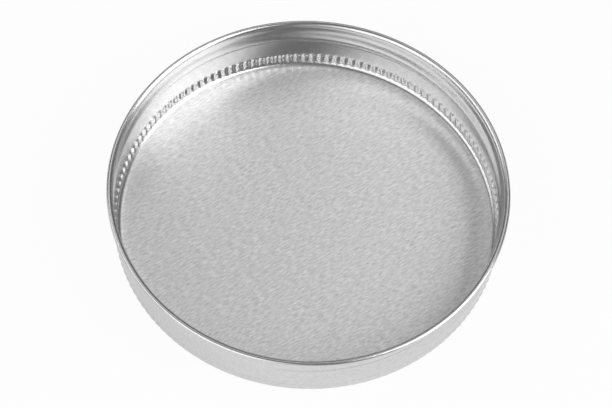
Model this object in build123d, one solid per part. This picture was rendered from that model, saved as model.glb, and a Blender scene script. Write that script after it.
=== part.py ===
from build123d import *
import os
from math import ceil, cos, pi, radians, sin, tan

# Metal screw lid for a wide jar mouth: one disc of tinned steel sheet, drawn into a cap, then rolled.
# Units are millimetres. The lid lies on its panel with the open side up, and +Z is the axis.

# Driving sizes
sheet = 0.25            # thickness of the metal, the same all over
skirt_od = 89.4         # outside of the skirt
curl_reach = 1.3        # how far the rolled edge stands out from the skirt
height = 15.4           # from the underside of the panel to the top of the rolled edge
corner_radius = 1.7     # outside radius between panel and skirt

curl_size = 1.15        # outside diameter of the roll
flare_angle = 35.0      # how far the skirt leans outwards before the roll begins, in degrees
curl_turn = 300.0       # how far the edge has turned where the sheet ends, in degrees

thread_pitch = 5.08     # five turns to the inch
thread_depth = 1.05     # how far the groove is rolled into the skirt
thread_radius = 2.15    # radius of the groove's bottom
thread_start = -110.0   # angle of the end nearest the panel, in degrees
thread_length = 300.0   # angle that the groove covers, run-outs included
thread_fade = 40.0      # angle of each run-out
thread_drop = 7.4       # from the top of the rolled edge down to the groove where it starts

knurl_count = 146
knurl_depth = 0.42      # of each flute
knurl_angle = 120.0     # between the two sides of a flute
knurl_top = 4.4         # height of the flutes' upper ends; the lower ones start where the corner stops
knurl_upper_taper = 0.4     # length of a flute's blunt upper end
knurl_lower_taper = 1.1     # length of its long lower run-out

# Allowances
corner_flat_count = 3   # rounds are runs of short flats, so that the mesh stays light
flare_flat_count = 1
curl_flat_count = 5
thread_flat_count = 12  # flats round the whole bar that rolls the thread; an edge of it presses deepest
clear = 0.05            # how far the pressing tools stand off the skirt where they end
path_step = 15.0        # angle between points on the path of that tool, in degrees

# Worked out from the sizes above
outer_radius = skirt_od / 2
middle_radius = outer_radius - sheet / 2
curl_radius = (curl_size - sheet) / 2
curl_centre = (outer_radius + curl_reach - curl_size / 2, height - curl_size / 2)
lean = radians(flare_angle)
flare_radius = (curl_centre[0] - middle_radius - curl_radius * cos(lean)) / (1 - cos(lean))
skirt_top = curl_centre[1] - (flare_radius - curl_radius) * sin(lean)


def bend(centre, radius, start, turn, flats):
    """Points along an arc, from the angle start, in degrees, through the angle turn."""
    angles = [radians(start + turn * i / flats) for i in range(flats + 1)]
    return [(centre[0] + radius * cos(a), centre[1] + radius * sin(a)) for a in angles]


def turned(points):
    """The solid made by turning a closed outline of radius and height round the axis."""
    return revolve(Plane.XZ * make_face(Polyline(points, close=True)), Axis.Z)


def filled_cap(inset):
    """All that one side of the sheet encloses before pressing: panel, corner and straight skirt."""
    radius = corner_radius - inset
    centre = (outer_radius - corner_radius, corner_radius)
    corner = bend(centre, radius, -90, 90, corner_flat_count)
    return turned([(0, inset), *corner, (outer_radius - inset, skirt_top), (0, skirt_top)])


def bent_strip(centre, radius, start, turn, flats):
    """A ring of sheet bent round a centre in the plane through the axis."""
    outside = bend(centre, radius + sheet / 2, start, turn, flats)
    inside = bend(centre, radius - sheet / 2, start, turn, flats)
    return turned(outside + inside[::-1])


def rolled_edge():
    """The flare above the skirt and the open roll that hides the raw edge."""
    flare_centre = (middle_radius + flare_radius, skirt_top)
    flare = bent_strip(flare_centre, flare_radius, 180, -flare_angle, flare_flat_count)
    roll = bent_strip(curl_centre, curl_radius, 180 - flare_angle, flare_angle - curl_turn, curl_flat_count)
    return flare + roll


def thread_path():
    """Centre line of the tool that rolls the thread. It backs out of the skirt at both ends."""
    deep = outer_radius + thread_radius / cos(pi / thread_flat_count) - thread_depth
    steps = ceil(thread_length / path_step)
    points = []
    for i in range(steps + 1):
        along = thread_length * i / steps
        to_end = min(along, thread_length - along)
        fade = max(0.0, 1 - to_end / thread_fade)
        r = deep + (thread_depth + clear) * fade ** 2
        a = radians(thread_start + along)
        points.append((r * cos(a), r * sin(a), height - thread_drop + thread_pitch * along / 360))
    return Spline(points)


def thread_tool(inset):
    """What the thread takes from the filled cap: a many-sided bar swept along the path."""
    path = thread_path()
    outwards = (cos(radians(thread_start)), sin(radians(thread_start)), 0)
    across = Plane(path @ 0, x_dir=outwards, z_dir=path % 0)
    bar = RegularPolygon(thread_radius + inset, thread_flat_count, major_radius=False)
    return sweep(across * bar, path, is_frenet=True)


def flute_tool(inset):
    """A bar with two flat sides and sloping ends that presses one flute, on the X axis."""
    spread = radians(knurl_angle / 2)
    valley = outer_radius - knurl_depth - inset / sin(spread)
    mouth = outer_radius - inset + clear
    half_width = (mouth - valley) * tan(spread)
    upper = (valley, knurl_top - knurl_upper_taper)
    lower = (valley, corner_radius + knurl_lower_taper)
    from_above = Polyline((valley, 0), (mouth, half_width), (mouth, -half_width), close=True)
    from_beside = Polyline(upper, lower, (mouth, corner_radius), (mouth, knurl_top), close=True)
    bar = extrude(make_face(from_above), height)
    return bar & extrude(Plane.XZ * make_face(from_beside), half_width, both=True)


def pressed_cap(inset):
    """One side of the sheet as a filled solid, with the thread and the flutes pressed in."""
    flutes = PolarLocations(0, knurl_count) * flute_tool(inset)
    return filled_cap(inset) - thread_tool(inset) - flutes


lid = pressed_cap(0) - pressed_cap(sheet) + rolled_edge()
lid.label = "lid"

os.makedirs("parts", exist_ok=True)
export_step(lid, "parts/lid.step")
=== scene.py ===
import math

import bmesh
import bpy
import numpy as np
from mathutils import Matrix, Vector


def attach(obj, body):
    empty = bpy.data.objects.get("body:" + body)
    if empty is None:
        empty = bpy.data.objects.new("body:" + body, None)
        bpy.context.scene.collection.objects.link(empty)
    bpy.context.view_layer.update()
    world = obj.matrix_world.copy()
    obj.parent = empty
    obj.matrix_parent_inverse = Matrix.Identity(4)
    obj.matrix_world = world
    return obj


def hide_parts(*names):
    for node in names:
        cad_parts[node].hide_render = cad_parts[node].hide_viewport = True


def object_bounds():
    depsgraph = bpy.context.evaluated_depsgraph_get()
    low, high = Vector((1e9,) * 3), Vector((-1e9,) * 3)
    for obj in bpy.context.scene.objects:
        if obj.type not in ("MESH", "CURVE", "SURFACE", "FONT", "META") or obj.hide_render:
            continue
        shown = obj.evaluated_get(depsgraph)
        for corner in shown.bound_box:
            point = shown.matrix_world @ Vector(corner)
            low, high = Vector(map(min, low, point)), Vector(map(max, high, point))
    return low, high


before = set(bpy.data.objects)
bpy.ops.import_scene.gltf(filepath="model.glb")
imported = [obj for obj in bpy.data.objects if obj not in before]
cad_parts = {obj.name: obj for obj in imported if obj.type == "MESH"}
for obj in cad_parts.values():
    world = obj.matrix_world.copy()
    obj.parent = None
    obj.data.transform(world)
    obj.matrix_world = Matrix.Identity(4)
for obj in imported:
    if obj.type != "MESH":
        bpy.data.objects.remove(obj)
cad_low, cad_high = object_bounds()

# The lid of the part's source drawn finer: one sheet with true rounds, a smooth thread and smooth flutes.
# Sizes are metres and angles are degrees.
MM = 0.001
RIM = (cad_high.x - cad_low.x) / 2
HEIGHT = cad_high.z
SHEET = 0.25 * MM
CURL_REACH = 1.285 * MM     # the source has 1.3, and a rim of short flats that lies a little inside its circle
SKIRT = RIM - CURL_REACH
CORNER = 2.05 * MM
CURL = 1.15 * MM
FLARE_ANGLE = 70.0
CURL_TURN = 300.0

THREAD_PITCH = 5.08 * MM
THREAD_DEPTH = 0.72 * MM
THREAD_HALF_WIDTH = 2.6 * MM
THREAD_START = -110.0
THREAD_LENGTH = 300.0
THREAD_FADE = 45.0
THREAD_DROP = 7.4 * MM

KNURLS = 146
KNURL_DEPTH = 0.42 * MM
KNURL_TOP = 3.4 * MM
KNURL_BLUNT = 0.5 * MM      # height of a flute's rounded upper end

# Mesh fineness
STEPS_PER_FLUTE = 8
COARSE_SHARE = 4
FINE = KNURLS * STEPS_PER_FLUTE
COARSE = FINE // COARSE_SHARE
FINE_TOP = 3.8 * MM         # rings have FINE points up to here and COARSE points above
CORNER_STEPS = 8
FLUTE_STEPS = 8
THREAD_STEPS = 40
FLARE_STEPS = 4
CURL_OUTER_STEPS = 18
CURL_INNER_STEPS = 10
PANEL_RINGS = (0.3, 0.6, 0.8, 0.93)     # shares of the flat panel's radius
BASE_RINGS = (0.8, 0.5)
SHARP_ANGLE = 60.0
TINY = 0.001 * MM

# Finish: bare tinned steel with the short streaks left by the rolling mill
GRAIN_ANGLE = 36.0
ACROSS = math.radians(GRAIN_ANGLE + 90)
GRAIN_LONG, GRAIN_THIN = 1.5 * MM, 0.36 * MM
GRAIN_DETAIL, GRAIN_ROUGHNESS, GRAIN_TWIST = 2.0, 0.6, 0.5
GRAIN_LOW, GRAIN_HIGH = 0.3, 0.7        # noise values of the darkest and the lightest streaks
TONE, TONE_SPREAD = 0.765, 0.16
BUMP, BUMP_DEPTH = 0.3, 0.03 * MM
WALL_GRAIN = 0.4                        # share of the grain that is left where the sheet was drawn
PANEL_ROUGH, PANEL_STRETCH = 0.36, 0.92
WALL_ROUGH, WALL_STRETCH = 0.22, 0.2

# Stage. The shares say how white a surface is to the camera, and to what mirrors it
FLOOR_SIZE = 4.0
FLOOR_GREY = 0.9
FLOOR_SEEN, FLOOR_MIRRORED = 0.95, 0.45
ROOM_GREY = 0.1
ROOM_SEEN, ROOM_MIRRORED = 1.0, 0.05

# Soft boxes: azimuth anticlockwise from +X, elevation, the angles spanned across and upwards, and radiance
BOX_DISTANCE = 1.2
SOFT_BOXES = {
    "key": (344, 48, 44, 42, 2.5),
    "fill": (208, 42, 90, 38, 1.2),
    "back": (93, 58, 48, 30, 0.58),
    "low_right": (342, 14, 46, 22, 1.3),
    "low_left": (232, 14, 44, 22, 1.0),
    "low_front": (268, 20, 26, 24, 0.4),
}

# Camera, worked out from the circles of the lid in the photo
PHOTO_WIDTH = 612           # pixels, as are the next two
FOCAL_LENGTH = 2500.0
AIM = (2.8705, -17.1908)    # from the photo's centre to the middle of the rim
SENSOR = 36.0               # millimetres, as Blender has it
DISTANCE = 568.7256 * MM
ELEVATION = 58.5093
ROLL = -3.5278
AIM_HEIGHT = 14.79 * MM
NEAR, FAR = 0.05, 10.0


def arc(centre, radius, start, turn, steps):
    """Points of radius and height along an arc."""
    angles = [math.radians(start + turn * i / steps) for i in range(steps + 1)]
    return [(centre[0] + radius * math.cos(a), centre[1] + radius * math.sin(a)) for a in angles]


def between(low, high, steps):
    """Evenly spaced values, both ends included."""
    return [low + (high - low) * i / steps for i in range(steps + 1)]


def sheet_rows():
    """Rows of radius, height and inset: up the inside of the sheet to its rolled edge, then down the outside.

    The inset is how far inside the outer skin the row lies. It is None where nothing is pressed into the sheet.
    """
    lean = math.radians(FLARE_ANGLE)
    middle = SKIRT - SHEET / 2
    roll = (CURL - SHEET) / 2
    roll_centre = (RIM - CURL / 2, HEIGHT - CURL / 2)
    flare = (roll_centre[0] - middle - roll * math.cos(lean)) / (1 - math.cos(lean))
    skirt_top = roll_centre[1] - (flare - roll) * math.sin(lean)
    flare_centre = (middle + flare, skirt_top)
    corner_centre = (SKIRT - CORNER, CORNER)
    panel = SKIRT - CORNER
    heights = between(CORNER, FINE_TOP, FLUTE_STEPS) + between(FINE_TOP, skirt_top, THREAD_STEPS)[1:]

    corner_in = arc(corner_centre, CORNER - SHEET, -90, 90, CORNER_STEPS)
    flare_in = arc(flare_centre, flare + SHEET / 2, 180, -FLARE_ANGLE, FLARE_STEPS)
    curl_outer = arc(roll_centre, roll + SHEET / 2, 180 - FLARE_ANGLE, FLARE_ANGLE - CURL_TURN, CURL_OUTER_STEPS)
    inside = [(panel * share, SHEET, SHEET) for share in PANEL_RINGS]
    inside += [(r, z, SHEET) for r, z in corner_in]
    inside += [(SKIRT - SHEET, z, SHEET) for z in heights[1:]]
    inside += [(r, z, None) for r, z in flare_in[1:] + curl_outer[1:]]

    curl_inner = arc(roll_centre, roll - SHEET / 2, 180 - CURL_TURN, CURL_TURN - FLARE_ANGLE, CURL_INNER_STEPS)
    flare_out = arc(flare_centre, flare - SHEET / 2, 180 - FLARE_ANGLE, FLARE_ANGLE, FLARE_STEPS)
    corner_out = arc(corner_centre, CORNER, 0, -90, CORNER_STEPS)
    outside = [(r, z, None) for r, z in curl_inner + flare_out[1:]]
    outside += [(SKIRT, z, 0.0) for z in heights[::-1][1:]]
    outside += [(r, z, 0.0) for r, z in corner_out[1:]]
    outside += [(panel * share, 0.0, 0.0) for share in BASE_RINGS]
    return inside, outside


def thread_press(angle, z):
    """How far the thread is pressed in at height z, for an array of angles in radians."""
    along = (np.degrees(angle) - THREAD_START) % 360
    to_end = np.minimum(along, THREAD_LENGTH - along)
    fade = 1 - np.clip(1 - to_end / THREAD_FADE, 0, 1) ** 2
    centre = HEIGHT - THREAD_DROP + THREAD_PITCH * along / 360
    off_centre = np.clip(np.abs(z - centre) / THREAD_HALF_WIDTH, 0, 1)
    depth = THREAD_DEPTH * fade * 0.5 * (1 + np.cos(np.pi * off_centre))
    return np.where(along < THREAD_LENGTH, depth, 0.0)


def pressed(angle, r, z, inset):
    """Radius of one row of the sheet once the thread and the flutes are pressed in."""
    if z > KNURL_TOP:
        return r - thread_press(angle, z)
    into_end = max(0.0, (z - (KNURL_TOP - KNURL_BLUNT)) / KNURL_BLUNT)
    blunt = math.sqrt(1 - into_end ** 2)
    flute = 0.5 * (1 + np.cos(KNURLS * angle))
    groove = SKIRT - inset - KNURL_DEPTH * blunt * flute
    return np.minimum(r, groove) - thread_press(angle, z)


def ring_faces(ring_a, ring_b):
    """Faces between two rings, each a first point and a count, where one count may be a multiple of the other."""
    (a, count_a), (b, count_b) = ring_a, ring_b
    few = min(count_a, count_b)
    share_a, share_b = count_a // few, count_b // few
    faces = []
    for i in range(few):
        side_a = [a + (i * share_a + k) % count_a for k in range(share_a + 1)]
        side_b = [b + (i * share_b + k) % count_b for k in range(share_b + 1)]
        faces.append(side_a + side_b[::-1])
    return faces


def lid_mesh():
    """The mesh of the whole sheet, finer where the flutes are.

    For the material it keeps where each point lay on the flat disc, and the direction across the grain there.
    """
    inside, outside = sheet_rows()
    rows = [(0.0, SHEET, SHEET), *inside, *outside, (0.0, 0.0, 0.0)]
    rings = []
    points = []
    on_disc = []
    across = []
    travel = 0.0
    for before, (r, z, inset), after in zip(rows, rows[1:], rows[2:]):
        side = 1 if len(rings) < len(inside) else -1
        travel += side * math.hypot(r - before[0], z - before[1])
        length = side * math.hypot(after[0] - before[0], after[1] - before[1])
        rise_r, rise_z = (after[0] - before[0]) / length, (after[1] - before[1]) / length
        shaped = inset is not None and r > SKIRT - CORNER - TINY
        count = FINE if shaped and z < FINE_TOP - TINY else COARSE
        angle = np.arange(count) * 2 * math.pi / count
        c, s = np.cos(angle), np.sin(angle)
        radius = pressed(angle, r, z, inset) if shaped else np.full(count, r)
        rings.append((len(points), count))
        points += list(zip(radius * c, radius * s, np.full(count, z)))
        on_disc += list(zip(travel * c, travel * s, np.zeros(count)))
        up_sheet, round_lid = np.cos(ACROSS - angle), np.sin(ACROSS - angle)
        outward = rise_r * up_sheet
        across += list(zip(outward * c - round_lid * s, outward * s + round_lid * c, rise_z * up_sheet))

    faces = []
    for ring, following in zip(rings, rings[1:]):
        faces += ring_faces(ring, following)
    for (first, count), z in ((rings[0], SHEET), (rings[-1], 0.0)):
        centre = len(points)
        points.append((0.0, 0.0, z))
        on_disc.append((0.0, 0.0, 0.0))
        across.append((math.cos(ACROSS), math.sin(ACROSS), 0.0))
        faces += [(centre, first + i, first + (i + 1) % count) for i in range(count)]

    mesh = bpy.data.meshes.new("lid_sheet")
    mesh.from_pydata([tuple(map(float, p)) for p in points], [], faces)
    for name, values in (("on_disc", on_disc), ("across", across)):
        kept = mesh.attributes.new(name, "FLOAT_VECTOR", "POINT")
        kept.data.foreach_set("vector", np.array(values, float).ravel())
    return mesh


def shade_smooth(mesh):
    """Normals outwards, and smooth shading but for the raw edges of the sheet."""
    work = bmesh.new()
    work.from_mesh(mesh)
    bmesh.ops.recalc_face_normals(work, faces=work.faces)
    for face in work.faces:
        face.smooth = True
    for edge in work.edges:
        edge.smooth = edge.calc_face_angle(0) < math.radians(SHARP_ANGLE)
    work.to_mesh(mesh)
    work.free()


def build_lid():
    mesh = lid_mesh()
    shade_smooth(mesh)
    mesh.materials.append(sheet_metal())
    lid = bpy.data.objects.new("lid_sheet", mesh)
    bpy.context.scene.collection.objects.link(lid)
    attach(lid, "root")
    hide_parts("lid")


def new_material(name):
    """An empty material and its node tree."""
    material = bpy.data.materials.new(name)
    material.use_nodes = True
    material.node_tree.nodes.clear()
    return material, material.node_tree


def node(tree, kind, inputs=None, **settings):
    """A new node. Its inputs are values, or sockets to link."""
    made = tree.nodes.new(kind)
    for key, value in settings.items():
        setattr(made, key, value)
    for key, value in (inputs or {}).items():
        if isinstance(value, bpy.types.NodeSocket):
            tree.links.new(value, made.inputs[key])
        else:
            made.inputs[key].default_value = value
    return made


def grey(level):
    return (level, level, level, 1)


def grain_streaks(tree):
    """Streak noise laid out on the flat disc that the lid was pressed from."""
    place = node(tree, "ShaderNodeAttribute", attribute_name="on_disc")
    along = node(tree, "ShaderNodeVectorRotate",
                 {"Vector": place.outputs["Vector"], "Angle": -math.radians(GRAIN_ANGLE)}, rotation_type="Z_AXIS")
    scaled = node(tree, "ShaderNodeVectorMath", {0: along.outputs[0], 1: (1 / GRAIN_LONG, 1 / GRAIN_THIN, 0)},
                  operation="MULTIPLY")
    noise = node(tree, "ShaderNodeTexNoise", {"Vector": scaled.outputs[0], "Scale": 1.0, "Detail": GRAIN_DETAIL,
                                              "Roughness": GRAIN_ROUGHNESS, "Distortion": GRAIN_TWIST})
    return noise.outputs["Fac"]


def tangent_across_grain(tree):
    """The direction across the grain, turned from the lid's own axes to the world's."""
    kept = node(tree, "ShaderNodeAttribute", attribute_name="across")
    return node(tree, "ShaderNodeVectorTransform", {"Vector": kept.outputs["Vector"]}, vector_type="VECTOR",
                convert_from="OBJECT", convert_to="WORLD").outputs[0]


def sheet_metal():
    """The panel keeps the mill's grain, and the drawn wall is smoother and shinier."""
    material, tree = new_material("tinned_steel")
    place = node(tree, "ShaderNodeTexCoord")
    height = node(tree, "ShaderNodeSeparateXYZ", {"Vector": place.outputs["Object"]})
    drawn = node(tree, "ShaderNodeMapRange", {"Value": height.outputs["Z"], "From Min": SHEET, "From Max": 2 * SHEET})

    def from_panel_to_wall(panel, wall):
        return node(tree, "ShaderNodeMapRange", {"Value": drawn.outputs[0], "To Min": panel, "To Max": wall}).outputs[0]

    streaks = grain_streaks(tree)
    grain = from_panel_to_wall(1.0, WALL_GRAIN)
    strength = node(tree, "ShaderNodeMath", {0: grain, 1: BUMP}, operation="MULTIPLY")
    bump = node(tree, "ShaderNodeBump", {"Strength": strength.outputs[0], "Distance": BUMP_DEPTH, "Height": streaks})
    spread = node(tree, "ShaderNodeMapRange", {"Value": streaks, "From Min": GRAIN_LOW, "From Max": GRAIN_HIGH,
                                               "To Min": -TONE_SPREAD, "To Max": TONE_SPREAD})
    tone = node(tree, "ShaderNodeMath", {0: spread.outputs[0], 1: grain, 2: TONE}, operation="MULTIPLY_ADD")
    metal = node(tree, "ShaderNodeBsdfPrincipled", {
        "Base Color": tone.outputs[0],
        "Metallic": 1.0,
        "Roughness": from_panel_to_wall(PANEL_ROUGH, WALL_ROUGH),
        "Anisotropic": from_panel_to_wall(PANEL_STRETCH, WALL_STRETCH),
        "Normal": bump.outputs[0],
        "Tangent": tangent_across_grain(tree),
    })
    node(tree, "ShaderNodeOutputMaterial", {"Surface": metal.outputs[0]})
    return material


def partly_white(tree, plain, white, seen, mirrored):
    """A mix of two shaders: the white one by seen for the camera's rays, by mirrored off metal or through glass."""
    ray = node(tree, "ShaderNodeLightPath")
    direct = node(tree, "ShaderNodeMath", {0: ray.outputs["Is Camera Ray"], 1: seen}, operation="MULTIPLY")
    bounced = node(tree, "ShaderNodeMath", {0: ray.outputs["Is Glossy Ray"], 1: ray.outputs["Is Transmission Ray"]},
                   operation="MAXIMUM")
    share = node(tree, "ShaderNodeMath", {0: bounced.outputs[0], 1: mirrored, 2: direct.outputs[0]},
                 operation="MULTIPLY_ADD")
    mix = node(tree, "ShaderNodeMixShader", {0: share.outputs[0], 1: plain.outputs[0], 2: white.outputs[0]})
    return mix.outputs[0]


def build_floor():
    bpy.ops.mesh.primitive_plane_add(size=FLOOR_SIZE, location=(0, 0, 0))
    floor = bpy.context.object
    floor.name = "floor"
    material, tree = new_material("floor_white")
    plain = node(tree, "ShaderNodeBsdfDiffuse", {"Color": grey(FLOOR_GREY)})
    white = node(tree, "ShaderNodeEmission", {"Color": grey(1), "Strength": 1.0})
    surface = partly_white(tree, plain, white, FLOOR_SEEN, FLOOR_MIRRORED)
    node(tree, "ShaderNodeOutputMaterial", {"Surface": surface})
    floor.data.materials.append(material)


def build_room():
    """A dim room round the soft boxes, white to the camera."""
    world = bpy.data.worlds.new("studio")
    world.use_nodes = True
    bpy.context.scene.world = world
    tree = world.node_tree
    tree.nodes.clear()
    plain = node(tree, "ShaderNodeBackground", {"Color": grey(ROOM_GREY), "Strength": 1.0})
    white = node(tree, "ShaderNodeBackground", {"Color": grey(1), "Strength": 1.0})
    surface = partly_white(tree, plain, white, ROOM_SEEN, ROOM_MIRRORED)
    node(tree, "ShaderNodeOutputWorld", {"Surface": surface})


def soft_box(name, azimuth, elevation, across, upwards, radiance):
    """An area light that faces the lid from BOX_DISTANCE away."""
    a, e = math.radians(azimuth), math.radians(elevation)
    away = Vector((math.cos(a) * math.cos(e), math.sin(a) * math.cos(e), math.sin(e)))
    light = bpy.data.lights.new(name, "AREA")
    light.shape = "RECTANGLE"
    light.size = 2 * BOX_DISTANCE * math.tan(math.radians(across / 2))
    light.size_y = 2 * BOX_DISTANCE * math.tan(math.radians(upwards / 2))
    light.energy = radiance * math.pi * light.size * light.size_y
    box = bpy.data.objects.new(name, light)
    box.location = away * BOX_DISTANCE
    box.rotation_mode = "QUATERNION"
    box.rotation_quaternion = away.to_track_quat("Z", "Y")
    bpy.context.scene.collection.objects.link(box)


def build_camera():
    """The photo's camera, turned so that the middle of the rim comes at AIM in the picture."""
    e = math.radians(ELEVATION)
    place = Vector((0, -math.cos(e), math.sin(e))) * DISTANCE
    ahead = -place.normalized()
    right = Vector((1, 0, 0))
    level = Matrix((right, right.cross(ahead), ahead))
    aim = Vector((AIM[0] / FOCAL_LENGTH, -AIM[1] / FOCAL_LENGTH, 1)).normalized()
    turn = Vector((0, 0, 1)).rotation_difference(aim).to_matrix()
    axes = turn @ Matrix.Rotation(math.radians(ROLL), 3, "Z") @ level
    data = bpy.data.cameras.new("camera")
    data.sensor_width = SENSOR
    data.lens = FOCAL_LENGTH * SENSOR / PHOTO_WIDTH
    data.clip_start, data.clip_end = NEAR, FAR
    camera = bpy.data.objects.new("camera", data)
    columns = Matrix((axes[0], axes[1], -axes[2])).transposed()
    camera.matrix_world = Matrix.Translation(place + Vector((0, 0, AIM_HEIGHT))) @ columns.to_4x4()
    bpy.context.scene.collection.objects.link(camera)
    bpy.context.scene.camera = camera


build_lid()
build_floor()
build_room()
for box_name, setting in SOFT_BOXES.items():
    soft_box(box_name, *setting)
build_camera()
bpy.context.scene.view_settings.view_transform = "Standard"
